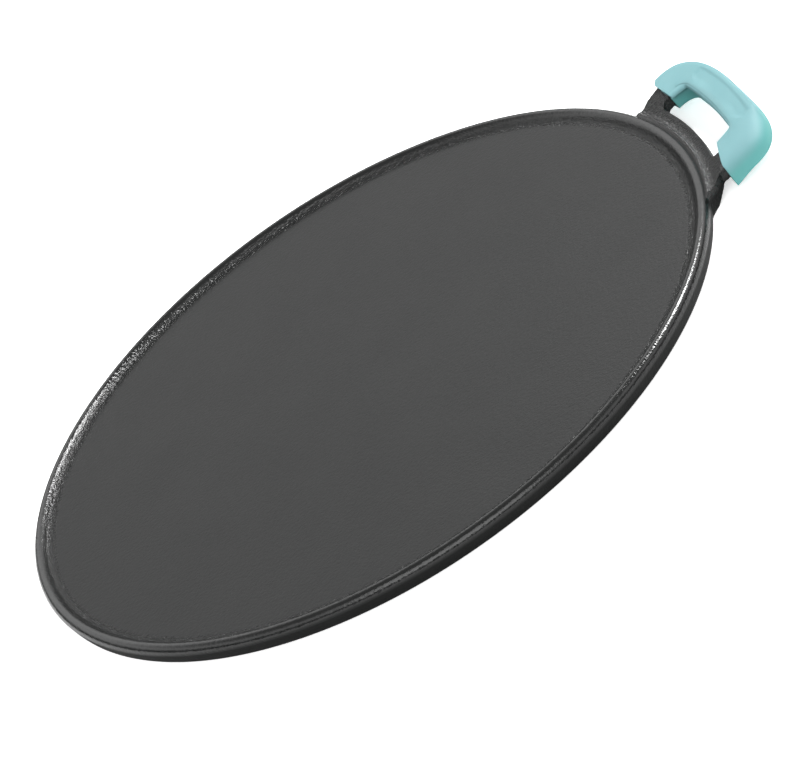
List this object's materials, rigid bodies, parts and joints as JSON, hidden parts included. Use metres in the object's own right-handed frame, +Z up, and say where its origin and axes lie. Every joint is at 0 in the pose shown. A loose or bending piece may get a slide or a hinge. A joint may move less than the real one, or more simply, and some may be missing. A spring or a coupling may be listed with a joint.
{
  "type": "cast-iron griddle with handle sleeve",
  "caption": "Round seasoned cast-iron griddle (comal) with a low rounded rim, a loop handle and a teal silicone slip-on handle sleeve.",
  "frame": {"origin": "centre of the griddle's flat underside", "axes": "+Z up out of the cooking surface, +X from the centre towards the handle"},
  "size_m": [0.3336, 0.3018, 0.0159],
  "materials": {
    "iron": "seasoned, fine pebbly cast grain, satin",
    "silicone": "matt moulded silicone"
  },
  "bodies": {
    "griddle": {"griddle_casting": "iron"},
    "sleeve": {"handle_sleeve": "silicone"}
  },
  "joints": [
    {"name": "sleeve_slide", "type": "slide", "parent": "griddle", "child": "sleeve", "axis": [0.9848, 0, 0.1736], "range_m": [0, 0.032]}
  ]
}
